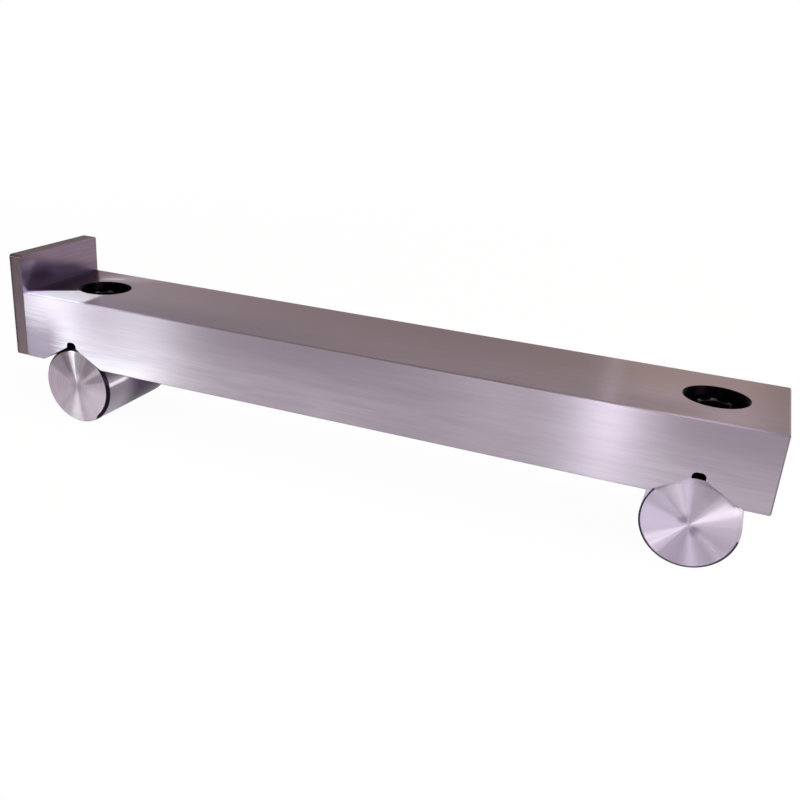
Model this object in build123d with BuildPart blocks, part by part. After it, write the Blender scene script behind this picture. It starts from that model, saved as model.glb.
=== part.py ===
from build123d import *
import math
import os

# A sine bar with a stop plate, standing on its two rollers.
# X runs along the bar from the stop end to the free end, Y from front to back, and Z is up.
# The origin lies under the middle of the whole object, on the surface that the rollers stand on.
# All sizes are in millimetres.

# Ground bar
axis_distance = 127.0  # between the two roller axes: the five inches that the bar is named for
end_overhang = 11.8  # from a roller axis to the bar's end on the same side
bar_width = 25.0
bar_height = 14.2
bar_edge = 0.25  # chamfer that breaks the ground edges

# Rollers
roller_diameter = 16.6
roller_recess = 1.0  # each end of a roller lies this far inside the bar's side
roller_edge = 0.65  # chamfer on the roller's ends
axis_below_bar = 5.1  # roller axis under the bar's underside

# Vee seats under the bar
vee_angle = 120.0  # between the two flanks
relief_width = 2.3  # groove along the bottom of the vee
relief_rise = 0.55  # roof of the groove beyond the line where the flanks would meet
relief_corner = 0.8

# Roller screws: socket head cap screws, sunk into the top of the bar
cap_head_diameter = 10.0
cap_head_height = 6.0
cap_head_edge = 0.5
cap_hex_across = 5.0
cap_hex_depth = 3.0
cap_shank_diameter = 6.0
cap_shank_length = 12.0
cap_seat_web = 1.8  # metal between the head's seat and the roof of the relief groove
counterbore_clearance = 0.5  # around the head
shank_clearance = 0.3  # around the shank where it passes through the bar
counterbore_edge = 0.15

# Stop plate across the stop end of the bar
plate_thickness = 3.2
plate_rise = 7.8  # above the bar's top face
plate_corner = 0.6  # rounding of the two upper corners
plate_edge = 0.25

# Plate screws: countersunk screws through the plate into the bar's end
plate_screw_spacing = 16.0
plate_screw_height = 7.6  # above the bar's underside
sunk_head_diameter = 8.0
sunk_head_angle = 90.0
sunk_head_rim = 0.2  # straight rim around the head
sunk_head_below = 0.1  # head under the plate's outer face
sunk_hex_across = 2.5
sunk_hex_depth = 1.4
sunk_shank_diameter = 4.0
sunk_screw_length = 10.0  # over all, head included
sunk_shank_clearance = 0.25
sunk_seat_gap = 0.05  # between the cone of the head and its countersink

# Tapped holes and screw ends, drawn at full diameter in place of the thread
thread_gap = 0.05
thread_runout = 2.0  # depth of a blind hole past the end of its screw
drill_point_angle = 118.0
screw_end_chamfer = 0.5

# Places along the bar
bar_length = axis_distance + 2 * end_overhang
plate_outer_x = -(bar_length + plate_thickness) / 2
stop_end_x = plate_outer_x + plate_thickness
bar_middle_x = stop_end_x + bar_length / 2
roller_axes_x = [bar_middle_x - axis_distance / 2, bar_middle_x + axis_distance / 2]

# Heights
roller_radius = roller_diameter / 2
underside_z = roller_radius + axis_below_bar
top_face_z = underside_z + bar_height
vee_half_angle = math.radians(vee_angle / 2)
flanks_meet_z = roller_radius + roller_radius / math.sin(vee_half_angle)
relief_roof_z = flanks_meet_z + relief_rise
cap_seat_z = relief_roof_z + cap_seat_web
cap_end_z = cap_seat_z - cap_shank_length
plate_screw_z = underside_z + plate_screw_height

os.makedirs("parts", exist_ok=True)


def save(piece, name):
    # Names the piece and writes it as a file of the same name.
    piece.label = name
    export_step(piece, f"parts/{name}.step")


def drilled_hollow(radius, depth):
    # What a drill takes away below the origin: a straight bore with a pointed end.
    point = radius / math.tan(math.radians(drill_point_angle / 2))
    with BuildPart() as hollow:
        with BuildSketch(Plane.XZ):
            with BuildLine():
                Polyline((0, 0), (radius, 0), (radius, -depth), (0, -depth - point), close=True)
            make_face()
        revolve(axis=Axis.Z)
    return hollow.part


# Outline of a vee seat with its relief groove, seen along the roller.
# The origin is the point where the two flanks would meet.
vee_depth = flanks_meet_z - underside_z
vee_half_width = vee_depth * math.tan(vee_half_angle)

with BuildSketch() as vee_seat:
    with BuildLine():
        Polyline(
            (-vee_half_width, -vee_depth), (0, 0), (vee_half_width, -vee_depth), close=True
        )
    make_face()
    with BuildSketch(mode=Mode.PRIVATE) as groove:
        with Locations((0, relief_rise)):
            Rectangle(relief_width, relief_rise + relief_width, align=(Align.CENTER, Align.MAX))
        roof_corners = groove.vertices().group_by(Axis.Y)[-1]
        fillet(roof_corners, min(relief_corner, 0.45 * relief_width))
    add(groove.sketch)

# The two tapped holes in the bar's stop end, as one drilled shape each
plate_screw_end = sunk_head_below + sunk_screw_length
end_bore_depth = plate_screw_end - plate_thickness + thread_runout
end_bore = drilled_hollow(sunk_shank_diameter / 2 + thread_gap, end_bore_depth)

# On this plane x points to the front of the bar, y up and z out of the stop end.
stop_end = Plane(origin=(stop_end_x, 0, 0), x_dir=(0, -1, 0), z_dir=(-1, 0, 0))
plate_screw_places = [
    (plate_screw_spacing / 2, plate_screw_z),
    (-plate_screw_spacing / 2, plate_screw_z),
]

# Bar body: a ground block, then the seats, the counterbored holes and the tapped holes
with BuildPart() as bar_body:
    with BuildSketch(Plane.XY.offset(underside_z)):
        with Locations((bar_middle_x, 0)):
            Rectangle(bar_length, bar_width)
    extrude(amount=bar_height)
    joint_edges = bar_body.faces().sort_by(Axis.X)[0].edges()
    chamfer(bar_body.edges() - joint_edges, bar_edge)
    with BuildSketch(Plane.XZ):
        with Locations(*[(x, flanks_meet_z) for x in roller_axes_x]):
            add(vee_seat.sketch)
    extrude(amount=bar_width, both=True, mode=Mode.SUBTRACT)
    with Locations(*[(x, 0, top_face_z) for x in roller_axes_x]):
        CounterBoreHole(
            radius=cap_shank_diameter / 2 + shank_clearance,
            counter_bore_radius=cap_head_diameter / 2 + counterbore_clearance,
            counter_bore_depth=top_face_z - cap_seat_z,
        )
    rims = bar_body.faces().sort_by(Axis.Z)[-1].edges().filter_by(GeomType.CIRCLE)
    chamfer(rims, counterbore_edge)
    with Locations(stop_end):
        with Locations(*plate_screw_places):
            add(end_bore, mode=Mode.SUBTRACT)

save(bar_body.part, "bar_body")

# Stop plate: flush with the bar's sides and underside, with two countersunk holes
plate_height = bar_height + plate_rise
sunk_shank_radius = sunk_shank_diameter / 2
sunk_head_radius = sunk_head_diameter / 2
sunk_slope = math.tan(math.radians(sunk_head_angle / 2))
cone_start = sunk_head_below + sunk_head_rim
gap_across = sunk_seat_gap / math.cos(math.radians(sunk_head_angle / 2))
countersink_radius = sunk_head_radius + cone_start * sunk_slope + gap_across

with BuildPart() as stop_plate:
    with BuildSketch(stop_end):
        with Locations((0, underside_z)):
            Rectangle(bar_width, plate_height, align=(Align.CENTER, Align.MIN))
        upper_corners = vertices().group_by(Axis.Z)[-1]
        fillet(upper_corners, plate_corner)
    extrude(amount=plate_thickness)
    outer_face = stop_plate.faces().sort_by(Axis.X)[0]
    chamfer(outer_face.edges(), plate_edge)
    with Locations(stop_end.offset(plate_thickness)):
        with Locations(*plate_screw_places):
            CounterSinkHole(
                radius=sunk_shank_radius + sunk_shank_clearance,
                counter_sink_radius=countersink_radius,
                counter_sink_angle=sunk_head_angle,
            )

save(stop_plate.part, "stop_plate")

# Rollers: each touches both flanks of its seat along a line and is tapped from above
roller_length = bar_width - 2 * roller_recess
roller_bore_depth = roller_diameter - cap_end_z + thread_runout
roller_bore = drilled_hollow(cap_shank_diameter / 2 + thread_gap, roller_bore_depth)


def make_roller(name, axis_x):
    with BuildPart() as roller:
        with BuildSketch(Plane.XZ):
            with Locations((axis_x, roller_radius)):
                Circle(roller_radius)
        extrude(amount=roller_length / 2, both=True)
        chamfer(roller.edges().filter_by(GeomType.CIRCLE), roller_edge)
        with Locations((axis_x, 0, roller_diameter)):
            add(roller_bore, mode=Mode.SUBTRACT)
    save(roller.part, name)


make_roller("stop_end_roller", roller_axes_x[0])
make_roller("free_end_roller", roller_axes_x[1])


def make_cap_screw(name, axis_x):
    head_top_z = cap_seat_z + cap_head_height
    with BuildPart() as screw:
        with BuildSketch(Plane.XY.offset(cap_seat_z)):
            with Locations((axis_x, 0)):
                Circle(cap_head_diameter / 2)
        extrude(amount=cap_head_height)
        chamfer(screw.edges().group_by(Axis.Z)[-1], cap_head_edge)
        with BuildSketch(Plane.XY.offset(cap_seat_z)):
            with Locations((axis_x, 0)):
                Circle(cap_shank_diameter / 2)
        extrude(amount=-cap_shank_length)
        chamfer(screw.edges().group_by(Axis.Z)[0], screw_end_chamfer)
        with BuildSketch(Plane.XY.offset(head_top_z)):
            with Locations((axis_x, 0)):
                RegularPolygon(cap_hex_across / 2, 6, major_radius=False)
        extrude(amount=-cap_hex_depth, mode=Mode.SUBTRACT)
    save(screw.part, name)


make_cap_screw("stop_end_roller_screw", roller_axes_x[0])
make_cap_screw("free_end_roller_screw", roller_axes_x[1])


def make_plate_screw(name, place):
    # The profile lies on a plane whose x is the depth behind the plate's outer face.
    middle = stop_end.offset(plate_thickness).from_local_coords((*place, 0))
    profile = Plane(origin=middle, x_dir=(1, 0, 0), z_dir=(0, -1, 0))
    cone_end = cone_start + (sunk_head_radius - sunk_shank_radius) / sunk_slope
    with BuildPart() as screw:
        with BuildSketch(profile):
            with BuildLine():
                Polyline(
                    (sunk_head_below, 0),
                    (sunk_head_below, sunk_head_radius),
                    (cone_start, sunk_head_radius),
                    (cone_end, sunk_shank_radius),
                    (plate_screw_end - screw_end_chamfer, sunk_shank_radius),
                    (plate_screw_end, sunk_shank_radius - screw_end_chamfer),
                    (plate_screw_end, 0),
                    close=True,
                )
            make_face()
        revolve(axis=Axis(middle, (1, 0, 0)))
        head_face = Plane(origin=middle, x_dir=(0, -1, 0), z_dir=(-1, 0, 0)).offset(-sunk_head_below)
        with BuildSketch(head_face):
            RegularPolygon(sunk_hex_across / 2, 6, major_radius=False)
        extrude(amount=-sunk_hex_depth, mode=Mode.SUBTRACT)
    save(screw.part, name)


make_plate_screw("plate_screw_front", plate_screw_places[0])
make_plate_screw("plate_screw_back", plate_screw_places[1])
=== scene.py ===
import bpy
import bmesh
import math
from functools import partial
from mathutils import Euler, Matrix, Vector


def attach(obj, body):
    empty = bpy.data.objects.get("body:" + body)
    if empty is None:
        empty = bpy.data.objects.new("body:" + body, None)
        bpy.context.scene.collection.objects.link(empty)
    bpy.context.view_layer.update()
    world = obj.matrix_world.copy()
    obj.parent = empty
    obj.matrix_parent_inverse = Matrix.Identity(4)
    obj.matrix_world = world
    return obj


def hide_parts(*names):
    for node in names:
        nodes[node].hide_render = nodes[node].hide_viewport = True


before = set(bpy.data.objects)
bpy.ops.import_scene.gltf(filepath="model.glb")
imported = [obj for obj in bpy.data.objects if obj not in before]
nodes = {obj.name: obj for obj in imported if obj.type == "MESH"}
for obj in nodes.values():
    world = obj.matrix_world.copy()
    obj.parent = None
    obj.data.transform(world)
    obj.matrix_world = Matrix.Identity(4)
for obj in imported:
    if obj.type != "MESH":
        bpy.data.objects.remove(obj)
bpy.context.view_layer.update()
scene = bpy.context.scene
print("frame loaded:", len(nodes), "nodes")

mm = 0.001


def nodeBox(name):
    # Lowest and highest corner of one piece of the frame, in millimetres
    axes = list(zip(*[vertex.co / mm for vertex in nodes[name].data.vertices]))
    return [[round(pick(axis), 3) for axis in axes] for pick in (min, max)]


barLow, barHigh = nodeBox("bar_body")
stopRollerHigh = nodeBox("stop_end_roller")[1]
freeRollerHigh = nodeBox("free_end_roller")[1]
rollerRadius = round(stopRollerHigh[2] / 2, 2)  # the rollers stand on the floor

bar = {
    # places that several finishes share, in millimetres
    "stopEnd": barLow[0],  # where the bar meets the plate
    "frontFace": barLow[1],
    "underside": barLow[2],
    "topFace": barHigh[2],
    "rollerRadius": rollerRadius,
    "middle": round((stopRollerHigh[0] + freeRollerHigh[0]) / 2 - rollerRadius, 3),  # between the rollers
    "rollerReach": round((freeRollerHigh[0] - stopRollerHigh[0]) / 2, 3),  # from there to each roller axis
}


def hexToLinear(code):
    # sRGB hex value to the linear colour that the nodes and lamps take
    parts = [int(code[i:i + 2], 16) / 255 for i in (1, 3, 5)]
    return tuple(c / 12.92 if c <= 0.04045 else ((c + 0.055) / 1.055) ** 2.4 for c in parts) + (1.0,)


def addObject(name, data):
    added = bpy.data.objects.new(name, data)
    scene.collection.objects.link(added)
    return added


def linearColours(finish):
    # Every colour of a piece's dictionary, ready for the nodes
    return {name: hexToLinear(value) for name, value in finish.items() if str(value).startswith("#")}


def offsetFrom(place, limits):
    # The limits of a fade that are given from a place; its shares stay as they are
    return [place + limits[0], place + limits[1], *limits[2:]]


fromTop = partial(offsetFrom, bar["topFace"])


def addNode(tree, kind, inputs=(), output=0, **settings):
    # Adds one node with its settings and links, and gives back one of its outputs;
    # an input is a value, or another node's output to link
    node = tree.nodes.new(kind if "Node" in kind else "ShaderNode" + kind)
    for name, value in settings.items():
        setattr(node, name, value)
    for key, value in inputs.items() if isinstance(inputs, dict) else enumerate(inputs):
        if isinstance(value, bpy.types.NodeSocket):
            tree.links.new(value, node.inputs[key])
        else:
            node.inputs[key].default_value = value
    return node.outputs[output] if node.outputs else node


def newMaterial(name):
    # An empty material, and addNode set to its tree
    material = bpy.data.materials.new(name)
    material.use_nodes = True
    material.node_tree.nodes.clear()
    return material, partial(addNode, material.node_tree)


# settings that many nodes share
times = {"operation": "MULTIPLY"}
timesPlus = {"operation": "MULTIPLY_ADD"}
plus = {"operation": "ADD"}
minus = {"operation": "SUBTRACT"}
larger = {"operation": "MAXIMUM"}
smooth = {"interpolation_type": "SMOOTHSTEP"}
rgba = {"output": 2, "data_type": "RGBA"}  # for a Mix of colours: share in 0, colours in 6 and 7

# the photograph's angle, found from the bar's corners and the roller ends
cameraView = {
    "place": (0.065415, -0.163349, 0.081593),
    "turn": (67.22905, -2.80319, 24.07869),  # degrees about X, Y and Z
    "lens": 42.153,
    "sensor": 36.0,
    "shift": (0.0705, 0.0331),
    "nearest": 0.01,
}

camera = addObject("camera", bpy.data.cameras.new("camera"))
turn = Euler([math.radians(angle) for angle in cameraView["turn"]])
camera.matrix_world = Matrix.Translation(cameraView["place"]) @ turn.to_matrix().to_4x4()
camera.data.sensor_width = cameraView["sensor"]
camera.data.lens = cameraView["lens"]
camera.data.shift_x, camera.data.shift_y = cameraView["shift"]
camera.data.clip_start = cameraView["nearest"]
scene.camera = camera
scene.view_settings.view_transform = "Standard"
print("camera set")

studio = {
    "floorRadius": 4.0,
    "floorSides": 96,
    "floorDrop": 0.00002,  # keeps it just clear of the rollers
    "floorColour": "#f4f4f4",
    "cameraGlow": 0.97,  # share of plain white on the floor near the object; the rest takes the shadow
    "mirrorGlow": 0.5,  # the same as the metal mirrors it
    "nearRadius": 0.16,
    "farRadius": 0.45,
    "horizonColour": "#ffffff",
    "horizonTop": 9.0,  # degrees above the floor
    "roomStart": 14.0,
    "roomColour": "#c0b2ac",
}

aims = {
    # what the softboxes light, in millimetres
    "frontAtStopEnd": (-56.0, bar["frontFace"], 20.0),
    "topAtStopEnd": (-66.0, -4.0, bar["topFace"]),
    "frontAtFreeEnd": (49.0, bar["frontFace"], 20.0),
    "edgeAtFreeEnd": (66.0, bar["frontFace"], bar["topFace"]),
    "freeRollerEnd": (bar["middle"] + bar["rollerReach"], bar["frontFace"] + 1.0, bar["rollerRadius"]),
    "floor": (0.0, 0.0, 0.0),
    "topAtFreeEnd": (60.0, 0.0, bar["topFace"]),
    "topBeforeFreeEnd": (47.0, 0.0, bar["topFace"]),
}

softboxes = {
    # azimuth 0 is in front of the bar and grows to the right; sizes in metres; radiance 1 is plain white;
    # a grid of some degrees in front of a box keeps its light on what it is aimed at
    "leftStrip": {"azimuth": -40.6, "elevation": 7, "distance": 0.5, "width": 0.024, "height": 0.16,
                  "grid": 30, "aim": "frontAtStopEnd", "radiance": 52.0, "colour": "#f0fff6"},
    "leftBox": {"azimuth": -33.1, "elevation": 7, "distance": 0.5, "width": 0.041, "height": 0.16,
                "grid": 30, "aim": "frontAtStopEnd", "radiance": 19.5, "colour": "#f0fff6"},
    "leftTopBox": {"azimuth": -61, "elevation": 45, "distance": 0.5, "width": 0.1, "height": 0.1,
                   "grid": 14, "aim": "topAtStopEnd", "radiance": 13.0, "colour": "#e8ecff"},
    "frontStrip": {"azimuth": -5.6, "elevation": 7, "distance": 0.8, "width": 0.021, "height": 0.26,
                   "aim": "frontAtFreeEnd", "radiance": 41.7, "colour": "#fafffe"},
    "frontBox": {"azimuth": -13.7, "elevation": 7, "distance": 0.8, "width": 0.05, "height": 0.26,
                 "aim": "frontAtFreeEnd", "radiance": 2.8, "colour": "#f8f8ff"},
    "frontTopBox": {"azimuth": 0, "elevation": 68, "distance": 0.8, "width": 0.1, "height": 0.3,
                    "aim": "edgeAtFreeEnd", "radiance": 2.9, "colour": "#f6f0ff"},
    "rightBox": {"azimuth": 62, "elevation": 11, "distance": 0.6, "width": 0.3, "height": 0.2,
                 "aim": "freeRollerEnd", "radiance": 10.6, "colour": "#fbfff6"},
    "overheadBox": {"azimuth": 78, "elevation": 52, "distance": 0.85, "width": 0.5, "height": 0.5,
                    "aim": "floor", "radiance": 6.0, "colour": "#ffffff"},
    "backBox": {"azimuth": 180, "elevation": 42, "distance": 0.9, "width": 0.18, "height": 0.35,
                "aim": "topAtFreeEnd", "radiance": 0.75, "colour": "#ffece0"},
    "backStrip": {"azimuth": 186.2, "elevation": 18, "distance": 0.9, "width": 0.01, "height": 0.3,
                  "aim": "topBeforeFreeEnd", "radiance": 1.5, "colour": "#f4eeff"},
}


def makeStudio():
    tone = linearColours(studio)
    bm = bmesh.new()
    bmesh.ops.create_circle(bm, cap_ends=True, segments=studio["floorSides"], radius=studio["floorRadius"])
    bmesh.ops.translate(bm, verts=bm.verts, vec=(0, 0, -studio["floorDrop"]))
    mesh = bpy.data.meshes.new("studioFloor")
    bm.to_mesh(mesh)
    bm.free()
    floor = addObject("studioFloor", mesh)
    material, add = newMaterial("mattWhitePaper")  # bright and even, with only a faint shadow
    away = add("VectorMath", [add("TexCoord", output="Object")], "Value", operation="LENGTH")
    reach = [away, studio["nearRadius"], studio["farRadius"]]
    seen = add("MapRange", reach + [studio["cameraGlow"], 1.0], **smooth)
    mirrored = add("MapRange", reach + [studio["mirrorGlow"], 1.0], **smooth)
    rays = add("LightPath").node.outputs
    straight = add("Math", [rays["Is Camera Ray"], rays["Is Transmission Ray"]], **larger)
    straight = add("Math", [straight, seen], **times)
    glowShare = add("Math", [rays["Is Glossy Ray"], mirrored, straight], **timesPlus)
    paper = add("BsdfDiffuse", {"Color": tone["floorColour"]})
    glow = add("Emission", {"Color": (1, 1, 1, 1), "Strength": 1.0})
    add("OutputMaterial", [add("MixShader", [glowShare, paper, glow])])
    mesh.materials.append(material)

    # the room: white near the horizon, a warm grey above it
    world = bpy.data.worlds.new("studioRoom")
    scene.world = world
    world.use_nodes = True
    world.node_tree.nodes.clear()
    add = partial(addNode, world.node_tree)
    height = add("SeparateXYZ", [add("TexCoord", output="Generated")], "Z")
    limits = [math.sin(math.radians(studio[name])) for name in ("horizonTop", "roomStart")]
    climb = add("MapRange", [height] + limits, **smooth)
    cameraRay = add("LightPath", output="Is Camera Ray")
    climb = add("Math", [climb, cameraRay], **minus, use_clamp=True)
    colour = add("Mix", {0: climb, 6: tone["horizonColour"], 7: tone["roomColour"]}, **rgba)
    add("OutputWorld", [add("Background", [colour, 1.0])])

    for name, box in softboxes.items():
        turn, rise = math.radians(box["azimuth"]), math.radians(box["elevation"])
        away = Vector((math.sin(turn) * math.cos(rise), -math.cos(turn) * math.cos(rise), math.sin(rise)))
        light = bpy.data.lights.new(name, "AREA")
        light.shape = "RECTANGLE"
        light.size, light.size_y = box["width"], box["height"]
        light.color = hexToLinear(box["colour"])[:3]
        light.energy = box["radiance"] * math.pi * box["width"] * box["height"]
        if "grid" in box:
            half = math.radians(box["grid"] / 2)
            light.spread = 2 * half
            light.energy *= (math.tan(half) - half) / math.tan(half)  # the same brightness along the aim
        lamp = addObject(name, light)
        lamp.location = Vector(aims[box["aim"]]) * mm + away * box["distance"]
        lamp.rotation_euler = away.to_track_quat("Z", "Y").to_euler()
        lamp.visible_camera = False


makeStudio()
print("studio set")


def surfaceSetup(add):
    # Place in millimetres, the true normal, and how far the surface faces along each axis
    place = add("VectorMath", {0: add("TexCoord", output="Object"), "Scale": 1 / mm}, operation="SCALE")
    normal = add("NewGeometry", output="Normal")
    facing = add("VectorMath", [normal], operation="ABSOLUTE")
    return place, add("SeparateXYZ", [place]).node.outputs, normal, add("SeparateXYZ", [facing]).node.outputs


def narrowed(add, share, *fades):
    # A patch's share, taken down by one smooth fade after another; each is an axis and its limits
    for axis, limits in fades:
        fade = add("MapRange", [axis, *limits], **smooth)
        share = add("Math", [share, fade], **times)
    return share


def acrossBoth(add, first, second):
    crossed = add("VectorMath", [first, second], operation="CROSS_PRODUCT")
    return add("VectorMath", [crossed], operation="NORMALIZE")


def fromRollerAxis(add, x):
    # How far to the right of the nearer roller axis, in millimetres
    fromMiddle = add("Math", [x, bar["middle"]], **minus)
    side = add("Math", [fromMiddle], operation="SIGN")
    return add("Math", [side, -bar["rollerReach"], fromMiddle], **timesPlus)


groundBar = {
    "steel": "#b1a8b5",
    "steelDark": "#a59ca9",
    "sideTop": "#8c828f",  # painted reflection: the upper part of the long sides, a little darker
    "back": "#9e8f9c",  # the back half of the top, a darker tone
    "backWarm": "#a19292",  # and nearer the free end
    "freeEndDark": "#6d6265",  # duller in front of the free end's counterbore and past it
    "stopFrontTone": "#91879a",  # the front half near the stop end
    "edge": "#9a909e",
    "stopEdge": "#8b8190",  # duller near the stop end
    "litEdge": "#b4aab7",  # front edge near the free end, a painted highlight
    "topEndEdge": "#4a4042",
    "endEdge": "#857a88",
    "rubbedAndLit": "#e5e4ed",  # painted pool of light on the top at the stop end
    "cornerShade": "#5f5064",  # painted shadow of the plate on the top beside it
    # painted shade on the front side's lower corner by the plate
    "dull": "#5c5160",
    # painted highlight along the front's lower edge beyond the stop end roller
    "lowEdge": "#f0ecf4",
    # painted shade in the counterbores and vee seats
    "bore": "#0c090d",
    "roughness": 0.28,
    "rougher": 0.2,  # added in the bores and seats, and on the painted pool of light
    # lengths and widths in millimetres; real grinding lines are about 0.05 wide, too fine to show, so
    # they are drawn wider
    "line": (9.0, 0.24),
    "streak": (12.0, 1.2),  # broader ones among them
    "contrast": (0.32, 0.68),
    "uneven": 7.0,  # how far the streaks shift the limits of patches along the bar
    "unevenHeight": -10.0,  # and up its front side
    "sideTopShare": 0.75,
    "evenShare": 0.4,  # over the whole height of the sides, near the free end
    "cornerShadeFront": (-0.70, 11.1),  # its front limit: slope, and how far in front of the middle it starts
    "cornerShadeBack": (-1.3, 13.2),  # and its back limit
    # the painted highlight behind the stop end's counterbore
    "brightSpot": {"middle": (-65.4, 7.4), "size": (3.4, 0.95), "turn": 36},
    "boreRadius": 5.64,
    "seatReach": 7.7,  # to each side of the roller axis
    "seatTop": 19.0,
    # in millimetres, where each patch has no share and where its full one; or else two places, and the
    # share at each
    "fades": {
        # from the bar's top, front and underside
        "onTop": (-0.4, -0.25), "onFlat": (-0.2, -0.08), "onFront": (0.2, 0.05),
        "seatFoot": (0.05, 0.3),
        # along, across and up the whole bar
        "evenFrom": (-5.0, 30.0), "evenTo": (62.0, 50.0), "sideTop": (16.0, 26.5),
        "back": (-9.0, 9.0, 0.15, 0.85), "backWarm": (20.0, 45.0), "freeEndDarkFrom": (48.0, 53.0),
        "freeEndDarkTo": (68.0, 60.0), "freeEndDarkFront": (-9.0, -2.0, 0.3, 0.0),
        "freeEndDarkEnd": (69.0, 76.0, 0.0, 0.3), "stopFrontToneFront": (-9.0, 4.0, 0.8, 0.0),
        "stopFrontToneEnd": (15.0, -35.0), "rubbedAndLitBack": (-2.5, -4.0),
        "fainterAcross": (-12.0, -6.0, 0.0, 0.3), "dullTop": (18.5, 26.0, 0.84, 0.0),
        "lowEdgeTop": (14.0, 18.0, 0.27, 0.0), "stopEdge": (-48.0, -60.0),
        "litEdgeFrom": (34.0, 46.0), "litEdgeTo": (66.0, 52.0),
        # from the plate
        "cornerShadeEnd": (10.0, 8.0), "rubbedAndLitEnd": (16.2, 14.2), "fainterAlong": (5.0, 13.0),
        "dullEnd": (12.0, 5.5), "lowEdgeFrom": (13.0, 19.0), "lowEdgeTo": (39.0, 27.0),
        # from the painted shadow's two limits, and in sizes of the painted bright spot
        "cornerShadeFront": (-0.1, 0.3), "cornerShadeBack": (-0.3, 0.5), "haze": (1.0, 6.0, 0.45, 0.0),
        "brightSpot": (1.3, 0.6),
    },
}


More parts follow.
